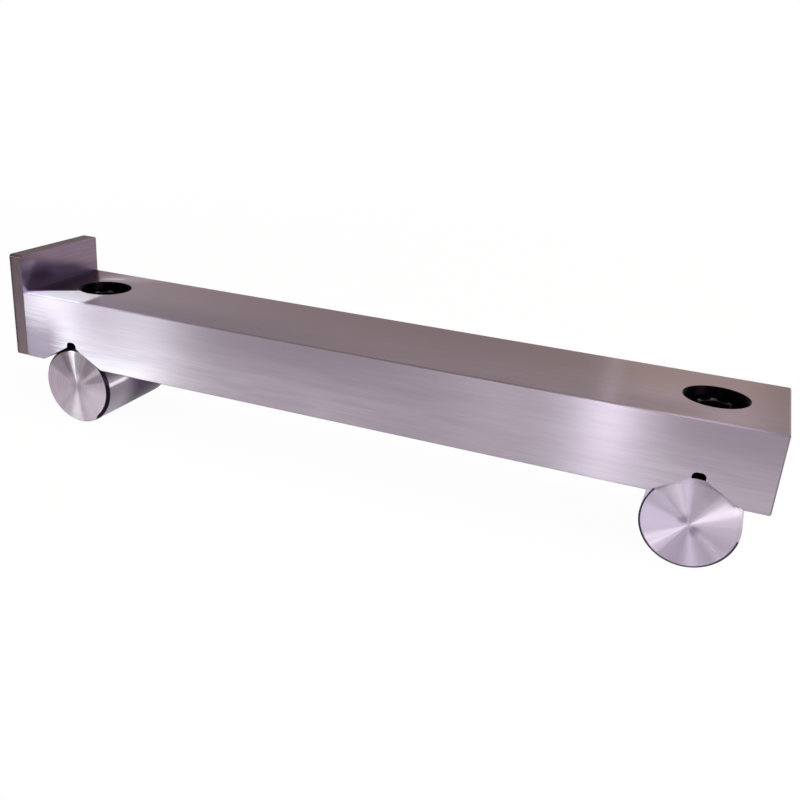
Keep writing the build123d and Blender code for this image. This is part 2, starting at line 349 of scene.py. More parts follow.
def groundSteelMaterial():
    # Hardened tool steel, surface ground along its length: long fine lines smear the light across
    # the bar, so it shows soft upright bands and hardly any image of the room
    material, add = newMaterial("surfaceGroundToolSteel")
    place, at, normal, facing = surfaceSetup(add)
    x, y, z = at
    tone = linearColours(groundBar)
    fade = groundBar["fades"]
    # lines run along X, and across the bar on its two ends
    atEnd = add("Math", [facing[0], 0.7], operation="GREATER_THAN")
    run = add("Mix", {0: atEnd, 4: place, 5: add("CombineXYZ", [y, x, z])}, 1, data_type="VECTOR")
    length, width = groundBar["line"]
    fine = add("Mapping", {"Vector": run, "Scale": (1 / length, 1 / width, 1 / width)})
    fine = add("TexNoise", {"Vector": fine, "Scale": 1.0, "Detail": 1.5, "Roughness": 0.5})
    length, width = groundBar["streak"]
    long = {"Vector": run, "Scale": (1 / length, 1 / width, 1 / width), "Location": (3, 7, 1)}
    long = add("TexNoise", {"Vector": add("Mapping", long), "Scale": 1.0, "Detail": 2.0})
    streak = add("Mix", {0: 0.55, 2: fine, 3: long})
    steel = add("MapRange", [streak, *groundBar["contrast"]], **smooth)
    steel = add("Mix", {0: steel, 6: tone["steelDark"], 7: tone["steel"]}, **rgba)

    # long sides: painted reflection, darker towards the top, and even over the whole height near the free end
    onSide = add("MapRange", [facing[1], 0.8, 0.95], **smooth)
    even = add("MapRange", [x, *fade["evenFrom"]], **smooth)
    even = narrowed(add, even, (x, fade["evenTo"]))
    share, evenShare = groundBar["sideTopShare"], groundBar["evenShare"]
    lowShare = add("Math", [even, evenShare], **times)
    highShare = add("Math", [even, evenShare - share, share], **timesPlus)
    upper = add("MapRange", [z, *fade["sideTop"], lowShare, highShare], **smooth)
    upper = add("Math", [onSide, upper], **times)
    colour = add("Mix", {0: upper, 6: steel, 7: tone["sideTop"]}, **rgba)

    # top: another tone on the back half, darker near the free end, and another tone on the front half near
    # the stop end
    onTop = add("MapRange", [z, *fromTop(fade["onTop"])], **smooth)
    backShare = narrowed(add, onTop, (y, fade["back"]))
    back = add("MapRange", [x, *fade["backWarm"]], **smooth)
    back = add("Mix", {0: back, 6: tone["back"], 7: tone["backWarm"]}, **rgba)
    colour = add("Mix", {0: backShare, 6: colour, 7: back}, **rgba)
    freeEndDark = add("MapRange", [x, *fade["freeEndDarkFrom"]], **smooth)
    freeEndDark = narrowed(add, freeEndDark, (x, fade["freeEndDarkTo"]), (y, fade["freeEndDarkFront"]))
    freeEndDarkEnd = add("MapRange", [x, *fade["freeEndDarkEnd"]], **smooth)
    freeEndDark = add("Math", [freeEndDark, freeEndDarkEnd], **larger)
    freeEndDark = add("Math", [freeEndDark, onTop], **times)
    colour = add("Mix", {0: freeEndDark, 6: colour, 7: tone["freeEndDark"]}, **rgba)
    stopFrontTone = narrowed(add, onTop, (y, fade["stopFrontToneFront"]), (x, fade["stopFrontToneEnd"]))
    colour = add("Mix", {0: stopFrontTone, 6: colour, 7: tone["stopFrontTone"]}, **rgba)

    # stop end: how far from the plate, with an uneven limit
    fromPlate = add("Math", [x, bar["stopEnd"]], **minus)
    uneven = add("Math", [streak, groundBar["uneven"], -groundBar["uneven"] / 2], **timesPlus)
    uneven = add("Math", [uneven, fromPlate], **plus)
    # painted shadow of the plate on the top: it narrows from the plate's foot to the counterbore
    frontLimit = add("Math", [fromPlate, *groundBar["cornerShadeFront"]], **timesPlus)
    frontLimit = add("Math", [frontLimit, y], **plus)
    behindFront = add("MapRange", [frontLimit, *fade["cornerShadeFront"]], **smooth)
    backLimit = add("Math", [fromPlate, *groundBar["cornerShadeBack"]], **timesPlus)
    backLimit = add("Math", [backLimit, y], **minus)
    cornerShade = add("MapRange", [backLimit, *fade["cornerShadeBack"]], **smooth)
    cornerShade = add("Math", [cornerShade, behindFront], **times)
    cornerShade = add("Math", [cornerShade, onTop], **times)
    cornerShade = narrowed(add, cornerShade, (fromPlate, fade["cornerShadeEnd"]))
    # in front of it, as far as the counterbore, a painted pool of light on the top
    rubbedAndLit = add("Math", [1.0, behindFront], **minus)
    rubbedAndLit = add("Math", [rubbedAndLit, onTop], **times)
    rubbedAndLit = narrowed(add, rubbedAndLit, (fromPlate, fade["rubbedAndLitEnd"]))
    fainter = add("MapRange", [fromPlate, *fade["fainterAlong"]], **smooth)
    across = add("MapRange", [y, *fade["fainterAcross"]])
    fainter = add("Math", [fainter, across], **times)
    rubbedAndLit = add("Math", [rubbedAndLit, fainter], **minus, use_clamp=True)
    rubbedAndLit = narrowed(add, rubbedAndLit, (y, fade["rubbedAndLitBack"]))
    # a painted highlight behind the counterbore, and a paler painted haze round it
    brightSpot = groundBar["brightSpot"]
    brightSpot = {"Vector": place, "Location": (*brightSpot["middle"], bar["topFace"]),
               "Rotation": (0, 0, math.radians(brightSpot["turn"])), "Scale": (*brightSpot["size"], 1)}
    brightSpot = add("Mapping", brightSpot, vector_type="TEXTURE")
    brightSpot = add("VectorMath", [brightSpot], "Value", operation="LENGTH")
    haze = add("MapRange", [brightSpot, *fade["haze"]], **smooth)
    brightSpot = add("MapRange", [brightSpot, *fade["brightSpot"]], **smooth)
    brightSpot = add("Math", [brightSpot, haze], **larger)
    brightSpot = add("Math", [brightSpot, onTop], **times)
    brightSpot = add("Math", [brightSpot, cornerShade], **minus, use_clamp=True)
    rubbedAndLit = add("Math", [rubbedAndLit, brightSpot], **larger)
    rubbedAndLit = narrowed(add, rubbedAndLit, (z, fromTop(fade["onFlat"])))
    # on the front side, painted shade: a darker lower corner by the plate
    onFront = add("MapRange", [y, *offsetFrom(bar["frontFace"], fade["onFront"])])
    shift = groundBar["unevenHeight"]
    unevenHeight = add("Math", [streak, shift, -shift / 2], **timesPlus)
    unevenHeight = add("Math", [unevenHeight, z], **plus)
    dull = narrowed(add, onFront, (uneven, fade["dullEnd"]), (unevenHeight, fade["dullTop"]))
    colour = add("Mix", {0: dull, 6: colour, 7: tone["dull"]}, **rgba)
    # and beyond the roller, a painted highlight along the lower edge
    low = narrowed(add, onFront, (uneven, fade["lowEdgeFrom"]), (uneven, fade["lowEdgeTo"]))
    low = narrowed(add, low, (z, fade["lowEdgeTop"]))
    colour = add("Mix", {0: low, 6: colour, 7: tone["lowEdge"]}, **rgba)

    # broken edges: painted shade darkens those at the bar's ends, and the front one has a painted highlight
    # near the free end
    steepest = add("Math", [facing[0], facing[1]], **larger)
    steepest = add("Math", [steepest, facing[2]], **larger)
    edge = add("MapRange", [steepest, 0.9, 0.75], **smooth)
    nearStop = add("MapRange", [x, *fade["stopEdge"]], **smooth)
    edgeColour = add("Mix", {0: nearStop, 6: tone["edge"], 7: tone["stopEdge"]}, **rgba)
    litEdge = narrowed(add, onFront, (x, fade["litEdgeFrom"]), (x, fade["litEdgeTo"]))
    edgeColour = add("Mix", {0: litEdge, 6: edgeColour, 7: tone["litEdge"]}, **rgba)
    atTopOfEnd = add("MapRange", [facing[2], 0.3, 0.5], **smooth)
    endColour = add("Mix", {0: atTopOfEnd, 6: tone["endEdge"], 7: tone["topEndEdge"]}, **rgba)
    endEdge = add("MapRange", [facing[0], 0.3, 0.5], **smooth)
    edgeColour = add("Mix", {0: endEdge, 6: edgeColour, 7: endColour}, **rgba)
    colour = add("Mix", {0: edge, 6: colour, 7: edgeColour}, **rgba)
    # the painted shadow of the plate, then the painted pool of light
    colour = add("Mix", {0: cornerShade, 6: colour, 7: tone["cornerShade"]}, **rgba)
    colour = add("Mix", {0: rubbedAndLit, 6: colour, 7: tone["rubbedAndLit"]}, **rgba)

    # counterbores and vee seats: painted shade, near black, and rougher as they are never ground
    localX = fromRollerAxis(add, x)
    acrossBore = add("VectorMath", [add("CombineXYZ", [localX, y])], "Value", operation="LENGTH")
    bore = add("Math", [acrossBore, groundBar["boreRadius"]], operation="LESS_THAN")
    alongRollers = add("MapRange", [facing[1], 0.6, 0.3], **smooth)
    beside = add("Math", [localX], operation="ABSOLUTE")
    seat = add("Math", [beside, groundBar["seatReach"]], operation="LESS_THAN")
    seat = add("Math", [seat, alongRollers], **times)
    seat = narrowed(add, seat, (z, offsetFrom(bar["underside"], fade["seatFoot"])))
    belowTop = add("Math", [z, groundBar["seatTop"]], operation="LESS_THAN")
    seat = add("Math", [seat, belowTop], **times)
    dark = add("Math", [bore, seat], **larger)
    colour = add("Mix", {0: dark, 6: colour, 7: tone["bore"]}, **rgba)

    along = add("CombineXYZ", [add("Math", [1.0, atEnd], **minus), atEnd])
    tangent = acrossBoth(add, normal, along)
    rough = add("Math", [dark, rubbedAndLit], **larger)
    rough = add("Math", [rough, groundBar["rougher"], groundBar["roughness"]], **timesPlus)
    add("OutputMaterial", [add("BsdfPrincipled", {
        "Base Color": colour, "Metallic": 1.0, "Roughness": rough, "Anisotropic": 1.0, "Tangent": tangent})])
    return material


stopPlate = {
    "face": "#837182",
    "faceDark": "#7a6877",
    "edge": "#615459",
    "edgeDark": "#52464c",
    "edgeFoot": "#77696f",  # narrow edges lower down
    "topEdge": "#65575f",
    "corner": "#231a21",  # beside its outer face
    # painted shade in the inner face's corner with the bar
    "cornerShade": "#43374b",
    "cornerShadeFoot": "#6f617b",  # where it meets the bar
    "cornerShadeFront": "#786689",  # and at its front corner
    "clear": "#9d91ad",  # the strip in front of it
    "roughness": 0.24,
    "edgeRoughness": 0.45,
    # sizes in millimetres
    "line": (7.0, 0.25),  # length and width of the grinding lines, drawn as wide as the bar's
    "fileLength": 2.5,
    "fileMarksPerMm": 3.3,
    "cornerShadeMiddle": 4.2,  # height of the painted shade above the bar, in the middle of the plate
    "cornerShadeFall": 0.239,  # how much lower it gets for each millimetre towards the back
    "cornerShadeFrontSlope": 0.5,  # how far its front limit moves back for each millimetre of height
    "cornerShadeFrontSoft": (1.5, 0.3),  # its softness at the bar, and what each millimetre of height adds
    # fades as on the bar
    "fades": {
        "edgeFoot": (34.0, 14.0, 0.0, 0.75), "clearTop": (34.5, 33.0, 0.0, 0.9),
        "frontCorner": (-4.0, -11.5),
        # from the bar's end, the painted shade's upper limit and the bar's top
        "corner": (-3.1, -2.2, 0.9, 0.0), "cornerShadeTop": (1.4, -1.5), "shadeAtFoot": (0.0, 3.0, 0.85, 0.0),
        "cornerShadeFoot": (3.0, 0.0), "frontFoot": (0.3, 2.5, 0.5, 1.0),
    },
}


def plateSteelMaterial():
    # Low carbon steel plate: its broad faces ground smooth, so the inner one mirrors the bar, its
    # narrow edges sawn and filed, so they are duller and browner
    material, add = newMaterial("groundPlateSteel")
    place, at, normal, facing = surfaceSetup(add)
    x, y, z = at
    tone = linearColours(stopPlate)
    fade = stopPlate["fades"]
    length, width = stopPlate["line"]
    lines = add("Mapping", {"Vector": place, "Scale": (1 / width, 1 / length, 1 / width)})
    lines = add("TexNoise", {"Vector": lines, "Scale": 1.0, "Detail": 3.0})
    marks = stopPlate["fileMarksPerMm"]
    filed = {"Vector": place, "Scale": (marks, marks, 1 / stopPlate["fileLength"]), "Location": (4, 1, 8)}
    filed = add("TexNoise", {"Vector": add("Mapping", filed), "Scale": 1.0, "Detail": 3.0})
    face = add("MapRange", [lines, 0.3, 0.7], **smooth)
    face = add("Mix", {0: face, 6: tone["faceDark"], 7: tone["face"]}, **rgba)
    rim = add("MapRange", [filed, 0.3, 0.7], **smooth)
    rim = add("Mix", {0: rim, 6: tone["edgeDark"], 7: tone["edge"]}, **rgba)
    down = add("MapRange", [z, *fade["edgeFoot"]])
    rim = add("Mix", {0: down, 6: rim, 7: tone["edgeFoot"]}, **rgba)
    upward = add("MapRange", [facing[2], 0.6, 0.8, 0.0, 0.8], **smooth)
    rim = add("Mix", {0: upward, 6: rim, 7: tone["topEdge"]}, **rgba)
    outerCorner = add("MapRange", [x, *offsetFrom(bar["stopEnd"], fade["corner"])], **smooth)
    rim = add("Mix", {0: outerCorner, 6: rim, 7: tone["corner"]}, **rgba)

    # painted shade in the corner with the bar, on the inner face alone
    onInner = add("Math", [x, bar["stopEnd"] - 0.2], operation="GREATER_THAN")
    cornerShadeTop = stopPlate["cornerShadeMiddle"] + bar["topFace"]
    cornerShadeTop = add("Math", [y, -stopPlate["cornerShadeFall"], cornerShadeTop], **timesPlus)
    cornerShade = add("Math", [z, cornerShadeTop], **minus)
    cornerShade = add("MapRange", [cornerShade, *fade["cornerShadeTop"]], **smooth)
    # it starts at the bar's front corner, and further back higher up
    slope = stopPlate["cornerShadeFrontSlope"]
    cornerShadeFront = add("Math", [z, -slope, slope * bar["topFace"] - bar["frontFace"]], **timesPlus)
    cornerShadeFront = add("Math", [y, cornerShadeFront], **plus)
    atBar, perMm = stopPlate["cornerShadeFrontSoft"]
    softness = add("Math", [z, perMm, atBar - perMm * bar["topFace"]], **timesPlus)
    cornerShadeFront = add("MapRange", [cornerShadeFront, -0.3, softness], **smooth)
    shadeAtFoot = add("MapRange", [z, *fromTop(fade["shadeAtFoot"])], **smooth)
    shadeAtFoot = add("Math", [cornerShadeFront, shadeAtFoot], **larger)
    cornerShade = add("Math", [cornerShade, shadeAtFoot], **times)
    cornerShade = add("Math", [cornerShade, onInner], **times)
    # in front of it, a paler strip
    clear = add("MapRange", [z, *fade["clearTop"]], **smooth)
    clear = add("Math", [clear, cornerShadeFront], **minus, use_clamp=True)
    clear = add("Math", [clear, onInner], **times)
    face = add("Mix", {0: clear, 6: face, 7: tone["clear"]}, **rgba)
    foot = add("MapRange", [z, *fromTop(fade["cornerShadeFoot"])], **smooth)
    cornerShadeColour = add("Mix", {0: foot, 6: tone["cornerShade"], 7: tone["cornerShadeFoot"]}, **rgba)
    front = add("MapRange", [y, *fade["frontCorner"]], **smooth)
    front = narrowed(add, front, (z, fromTop(fade["frontFoot"])))
    cornerShadeColour = add("Mix", {0: front, 6: cornerShadeColour, 7: tone["cornerShadeFront"]}, **rgba)
    face = add("Mix", {0: cornerShade, 6: face, 7: cornerShadeColour}, **rgba)
    broad = add("MapRange", [facing[0], 0.75, 0.95], **smooth)
    colour = add("Mix", {0: broad, 6: rim, 7: face}, **rgba)

    # lines run across the broad faces, and along the narrow edges
    onSide = add("MapRange", [facing[1], 0.6, 0.8], **smooth)
    along = add("CombineXYZ", [0.0, add("Math", [1.0, onSide], **minus), onSide])
    tangent = acrossBoth(add, normal, along)
    rough = [facing[0], 0.75, 0.95, stopPlate["edgeRoughness"], stopPlate["roughness"]]
    rough = add("MapRange", rough, **smooth)
    add("OutputMaterial", [add("BsdfPrincipled", {
        "Base Color": colour, "Metallic": 1.0, "Roughness": rough, "Anisotropic": 0.5, "Tangent": tangent})])
    return material


roller = {
    "steel": "#b1a6b3",
    "steelDark": "#a59aa7",
    "freeEnd": "#cfc4d8",  # the free end roller's ends, painted lighter
    "side": "#978c9b",
    "sideLow": "#b4a9b8",
    "sideFree": "#c4bac8",
    "sideShade": "#4d3d57",  # painted shade on its round side behind the middle
    "sideSeat": "#060507",
    "gleam": "#f3ecf8",
    "chamfer": "#241a2a",
    "chamferFree": "#4a4150",
    "middle": "#7d6f8b",
    "roughness": 0.22,
    "roughnessFree": 0.42,
    "ringWidth": 0.30,  # facing marks are about 0.1 mm apart, drawn wider so that they show
    "ringTilt": 0.015,
    "gleamHeight": 1.5,  # millimetres above the axis
    "rimRound": 8.0,  # how far the rubbed rims lean to the end face
    "rimTaper": (1.5, -11.95),  # right part of the stop end's black rim: how it widens with radius
    "rimThinning": -0.03,  # the free end's gets thinner with each millimetre of height
    "rimBrightAbove": (-1.3, 5.0),  # and ends at these heights on its right and left
    "sectors": (2.2, 0.05),  # how many uneven ones, and how much they change towards the rim
    # fades as on the bar, along the roller or from its axis
    "fades": {
        "stopMarks": (1.0, 4.5), "pairFrom": (0.3, 1.0), "spot": (0.4, 1.8, 0.6, 0.0),
        "middleEnd": (1.2, 2.6, 0.7, 0.0), "behindShadeFrom": (-7.0, 0.5), "behindShadeTo": (11.4, 9.5),
        "under": (1.0, -4.0), "gleam": (0.1, 0.65, 0.95, 0.0), "gleamEnd": (-3.0, -6.0),
        "inSeat": (3.6, 5.6), "rimOuter": (7.8, 7.9), "rimOuterFree": (7.9, 8.0),
        "rimRight": (4.2, 5.0), "rimSeat": (2.0, 3.5),
    },
    "marks": (
        # duller and brighter sectors, partly uneven facing and partly painted highlight and shade: end,
        # direction, half width in degrees, colour, share
        ("stop", 130, 26, "#5a5056", 0.5),
        ("stop", 112, 11, "#5a5056", 0.5),
        ("stop", 99, 7, "#ffffff", 0.15),
        ("stop", 81, 13, "#5a5056", 0.62),
        ("stop", 56, 17, "#5a5056", 0.55),
        ("stop", 25, 10, "#5a5056", 0.5),
        ("stop", -32, 50, "#e6dcec", 0.4),
        ("stop", -105, 24, "#ffffff", 0.14),
        ("free", 178, 30, "#ebdffa", 0.5),
        ("free", 143, 24, "#8f8496", 0.35),
        ("free", 120, 14, "#efe6f6", 0.3),
        ("free", 97, 18, "#4f4652", 0.27),
        ("free", 68, 20, "#857a87", 0.28),
        ("free", 50, 12, "#f6e8fb", 0.25),
        ("free", 20, 14, "#f6e8fb", 0.32),
        ("free", -50, 50, "#8f8496", 0.35),
        ("free", -108, 46, "#958a9f", 0.4),
        ("free", -131, 11, "#f3e2fb", 0.5),
    ),
    "markCore": 0.35,  # share of the half width that is at full strength
}


def turnedSteelMaterial():
    # Hardened steel, ground round its length and faced in a lathe on its ends: rings about the
    # axis draw bright wedges from the middle to the rim
    material, add = newMaterial("turnedToolSteel")
    at, normal, facing = surfaceSetup(add)[1:]
    x, y, z = at
    tone = linearColours(roller)
    fade = roller["fades"]
    localX = fromRollerAxis(add, x)
    localZ = add("Math", [z, bar["rollerRadius"]], **minus)
    outward = add("CombineXYZ", [localX, 0.0, localZ])
    radius = add("VectorMath", [outward], "Value", operation="LENGTH")
    direction = add("VectorMath", [outward], operation="NORMALIZE")
    around = add("VectorMath", [(0.0, 1.0, 0.0), direction], operation="CROSS_PRODUCT")
    free = add("Math", [x, 0.0], operation="GREATER_THAN")
    stop = add("Math", [1.0, free], **minus)

    # rings by radius on the ends, by place along the axis on the round side
    onEnd = add("MapRange", [facing[1], 0.9, 0.98], **smooth)
    rings = {"W": add("Mix", {0: onEnd, 2: y, 3: radius}), "Scale": 1 / roller["ringWidth"], "Detail": 2.0}
    rings = add("TexNoise", rings, noise_dimensions="1D")
    byTurn, byRadius = roller["sectors"]
    sectors = add("VectorMath", {0: direction, 1: (byTurn,) * 3, 2: (2.0, 0.0, 6.0)}, **timesPlus)
    sectors = add("VectorMath", {0: outward, 1: (byRadius,) * 3, 2: sectors}, **timesPlus)
    sectors = add("TexNoise", {"Vector": sectors, "Scale": 1.0, "Detail": 2.0})
    face = add("MapRange", [rings, 0.3, 0.7], **smooth)
    face = add("Mix", {0: face, 6: tone["steelDark"], 7: tone["steel"]}, **rgba)
    # the free end roller's ends painted lighter
    freeLighter = add("Math", [free, 0.85], **times)
    face = add("Mix", {0: freeLighter, 6: face, 7: tone["freeEnd"]}, **rgba)
    blurred = add("MapRange", [sectors, 0.3, 0.7, 0.85, 1.15])
    for end, turned, half, markColour, share in roller["marks"]:
        toward = (math.cos(math.radians(turned)), 0.0, math.sin(math.radians(turned)))
        mark = add("VectorMath", [direction, toward], "Value", operation="DOT_PRODUCT")
        limits = [math.cos(math.radians(half)), math.cos(math.radians(half * roller["markCore"])), 0.0, share]
        mark = add("MapRange", [mark] + limits, **smooth)
        mark = add("Math", [mark, free if end == "free" else stop], **times)
        mark = add("Math", [mark, blurred], **times)
        if end == "stop":
            mark = narrowed(add, mark, (radius, fade["stopMarks"]))
        face = add("Mix", {0: mark, 6: face, 7: hexToLinear(markColour)}, **rgba)
    # small dull marks beside the middle: a pair on one roller, a spot on the other
    pair = add("VectorMath", [direction, (-0.7, 0.0, 0.7)], "Value", operation="DOT_PRODUCT")
    pair = add("Math", [pair], operation="ABSOLUTE")
    pair = add("MapRange", [pair, 0.6, 0.97], **smooth)
    pair = narrowed(add, pair, (radius, fade["pairFrom"]))
    spot = add("MapRange", [radius, *fade["spot"]], **smooth)
    middle = add("Mix", {0: free, 2: spot, 3: pair})
    middle = narrowed(add, middle, (radius, fade["middleEnd"]))
    face = add("Mix", {0: middle, 6: face, 7: tone["middle"]}, **rgba)

    # round side: painted reflection makes it lighter low down, with a painted gleam; painted shade behind its
    # middle and inside the seat
    behindShade = add("MapRange", [y, *fade["behindShadeFrom"]], **smooth)
    behindShade = narrowed(add, behindShade, (y, fade["behindShadeTo"]))
    under = add("MapRange", [localZ, *fade["under"]], **smooth)
    side = add("Mix", {0: under, 6: tone["side"], 7: tone["sideLow"]}, **rgba)
    side = add("Mix", {0: behindShade, 6: side, 7: tone["sideShade"]}, **rgba)
    gleam = add("Math", [localZ, roller["gleamHeight"]], **minus)
    gleam = add("Math", [gleam], operation="ABSOLUTE")
    gleam = add("MapRange", [gleam, *fade["gleam"]], **smooth)
    gleam = narrowed(add, gleam, (y, fade["gleamEnd"]))
    side = add("Mix", {0: gleam, 6: side, 7: tone["gleam"]}, **rgba)
    # the free end roller's side painted lighter
    side = add("Mix", {0: free, 6: side, 7: tone["sideFree"]}, **rgba)
    inSeat = add("MapRange", [localZ, *fade["inSeat"]], **smooth)
    side = add("Mix", {0: inSeat, 6: side, 7: tone["sideSeat"]}, **rgba)
    colour = add("Mix", {0: onEnd, 6: side, 7: face}, **rgba)

    # chamfers: painted shade makes part of them near black, and the rest takes the end's colour
    onChamfer = add("MapRange", [facing[1], 0.5, 0.6], **smooth)
    onChamfer = narrowed(add, onChamfer, (facing[1], (0.9, 0.8)))
    outer = add("MapRange", [radius, *fade["rimOuter"]], **smooth)
    thinning = add("Math", [localZ, roller["rimThinning"], radius], **timesPlus)
    outerFree = add("MapRange", [thinning, *fade["rimOuterFree"]], **smooth)
    leftHalf = add("Math", [localX, 0.0], operation="LESS_THAN")
    brightAbove = add("MapRange", [leftHalf, 0.0, 1.0, *roller["rimBrightAbove"]])
    blackFree = add("Math", [localZ, brightAbove], operation="LESS_THAN")
    blackFree = add("Math", [blackFree, outerFree], **times)
    blackFree = add("Math", [blackFree, free], **times)
    taper = add("Math", [radius, *roller["rimTaper"]], **timesPlus)
    atRight = add("Math", [localX, taper], **plus)
    atRight = add("MapRange", [atRight, *fade["rimRight"]], **smooth)
    alongSeat = add("MapRange", [localZ, *fade["rimSeat"]], **smooth)
    alongSeat = add("Math", [alongSeat, outer], **times)
    blackStop = add("Math", [atRight, alongSeat], **larger)
    blackStop = add("Math", [blackStop, stop], **times)
    black = add("Math", [blackFree, blackStop], **larger)
    blackRim = add("Math", [black, onChamfer], **times)
    brightRim = add("Math", [onChamfer, blackRim], **minus)
    colour = add("Mix", {0: brightRim, 6: colour, 7: face}, **rgba)
    rimColour = add("Mix", {0: free, 6: tone["chamfer"], 7: tone["chamferFree"]}, **rgba)
    colour = add("Mix", {0: blackRim, 6: colour, 7: rimColour}, **rgba)

    # the rubbed rims are rounded towards the end face, and the facing is slightly uneven
    endward = add("VectorMath", [normal, (0.0, roller["rimRound"], 0.0)], **times)
    endward = add("VectorMath", {0: endward, "Scale": brightRim}, operation="SCALE")
    tilt = add("Math", [sectors, roller["ringTilt"], -roller["ringTilt"] / 2], **timesPlus)
    tilted = add("VectorMath", {0: around, "Scale": tilt}, operation="SCALE")
    tilted = add("VectorMath", [tilted, endward], **plus)
    tilted = add("VectorMath", [tilted, normal], **plus)
    tilted = add("VectorMath", [tilted], operation="NORMALIZE")
    tangent = acrossBoth(add, tilted, around)
    rough = add("Mix", {0: free, 2: roller["roughness"], 3: roller["roughnessFree"]})
    rough = add("Math", [blackRim, 0.2, rough], **timesPlus)
    add("OutputMaterial", [add("BsdfPrincipled", {
        "Base Color": colour, "Metallic": 1.0, "Roughness": rough, "Anisotropic": 1.0,
        "Tangent": tangent, "Normal": tilted})])
    return material


blackFinish = {
    "oxide": "#151317",
    "oxideDark": "#0c0b0d",
    "rubbedAndLit": "#423f44",  # mouth of the cap screws' sockets, rubbed by the key
    "roughness": 0.30,
    "roughnessGrain": 0.16,
    "roughnessRubbed": 0.3,
    "edgeTint": (0.15, 0.15, 0.15, 1.0),
    # sizes in millimetres
    "grain": 0.25,
    "grainDepth": 0.02,
    "blotch": 2.0,
    "mouthReach": 3.4,  # from the screw's axis
    "mouthDrop": 1.7,  # below the bar's top
}


def blackOxideMaterial():
    # Alloy steel with a black oxide finish: nearly black with a faint oily gleam
    material, add = newMaterial("blackOxideAlloySteel")
    place, at, normal, facing = surfaceSetup(add)
    x, y, z = at
    tone = linearColours(blackFinish)
    grain = add("TexNoise", {"Vector": place, "Scale": 1 / blackFinish["grain"], "Detail": 3.0})
    blotch = add("TexNoise", {"Vector": place, "Scale": 1 / blackFinish["blotch"], "Detail": 2.0})
    colour = add("MapRange", [blotch, 0.3, 0.7], **smooth)
    colour = add("Mix", {0: colour, 6: tone["oxideDark"], 7: tone["oxide"]}, **rgba)
    fromAxis = add("CombineXYZ", [fromRollerAxis(add, x), y])
    fromAxis = add("VectorMath", [fromAxis], "Value", operation="LENGTH")
    inReach = add("Math", [fromAxis, blackFinish["mouthReach"]], operation="LESS_THAN")
    above = add("Math", [z, bar["topFace"] - blackFinish["mouthDrop"]], operation="GREATER_THAN")
    rubbedAndLit = add("Math", [inReach, above], **times)
    rubbedAndLit = narrowed(add, rubbedAndLit, (facing[2], (0.85, 0.95, 0.9, 0.0)))  # on its slope alone
    colour = add("Mix", {0: rubbedAndLit, 6: colour, 7: tone["rubbedAndLit"]}, **rgba)
    rough = add("Math", [grain, blackFinish["roughnessGrain"], blackFinish["roughness"]], **timesPlus)
    rough = add("Math", [rubbedAndLit, blackFinish["roughnessRubbed"], rough], **timesPlus)
    bump = add("Bump", {"Strength": 0.25, "Distance": blackFinish["grainDepth"] * mm, "Height": grain})
    add("OutputMaterial", [add("BsdfPrincipled", {
        "Base Color": colour, "Metallic": 1.0, "Roughness": rough,
        "Specular Tint": blackFinish["edgeTint"], "Normal": bump})])
    return material


groundSteel = groundSteelMaterial()
plateSteel = plateSteelMaterial()
turnedSteel = turnedSteelMaterial()
blackOxide = blackOxideMaterial()

for nodeName, material in (
    ("bar_body", groundSteel), ("stop_plate", plateSteel),
    ("stop_end_roller", turnedSteel), ("free_end_roller", turnedSteel),
):
    nodes[nodeName].material_slots[0].material = material
print("steel on the bar, plate and rollers")


def ringedMesh(name, rings, columns):
    # Closed form round Z from rings of (shape, size, height) in millimetres, from one pole to the
    # other; a hex ring's size is half its width across flats
    bm = bmesh.new()
    built = []
    for shape, size, height in rings:
        size, height = size * mm, height * mm
        if size == 0:
            built.append([bm.verts.new((0, 0, height))])
            continue
        ring = []
        for i in range(columns):
            angle = 2 * math.pi * i / columns
            reach = size
            if shape == "hex":
                reach = size / math.cos((angle + math.pi / 6) % (math.pi / 3) - math.pi / 6)
            ring.append(bm.verts.new((reach * math.cos(angle), reach * math.sin(angle), height)))
        built.append(ring)
    for lower, upper in zip(built, built[1:]):
        for i in range(columns):
            j = (i + 1) % columns
            corners = [lower[i % len(lower)], lower[j % len(lower)]]
            corners += [upper[j % len(upper)], upper[i % len(upper)]]
            bm.faces.new(list(dict.fromkeys(corners)))
    bmesh.ops.recalc_face_normals(bm, faces=bm.faces)
    mesh = bpy.data.meshes.new(name)
    bm.to_mesh(mesh)
    bm.free()
    return mesh


def startRadialTree(name, controls):
    # A tree that moves points in from their place round Z; the caller adds the rule for how far
    tree = bpy.data.node_groups.new(name, "GeometryNodeTree")
    for control in ("Geometry", *controls, "Material"):
        kind = "Float" if control in controls else control
        tree.interface.new_socket(control, in_out="INPUT", socket_type="NodeSocket" + kind)
    tree.interface.new_socket("Geometry", in_out="OUTPUT", socket_type="NodeSocketGeometry")
    add = partial(addNode, tree)
    given = add("NodeGroupInput").node.outputs
    x, y, height = add("SeparateXYZ", [add("GeometryNodeInputPosition")]).node.outputs
    angle = add("Math", [y, x], operation="ARCTAN2")
    flat = add("CombineXYZ", [x, y])
    # 1 between the two heights, with a short run-out at each
    low, high = given["Lower height"], given["Upper height"]
    rise = add("MapRange", [height, low, add("Math", [low, given["Run-out"]], **plus)], **smooth)
    fall = [height, add("Math", [high, given["Run-out"]], **minus), high, 1.0, 0.0]
    within = add("Math", [rise, add("MapRange", fall, **smooth)], **times)
    return tree, add, given, angle, flat, within, height


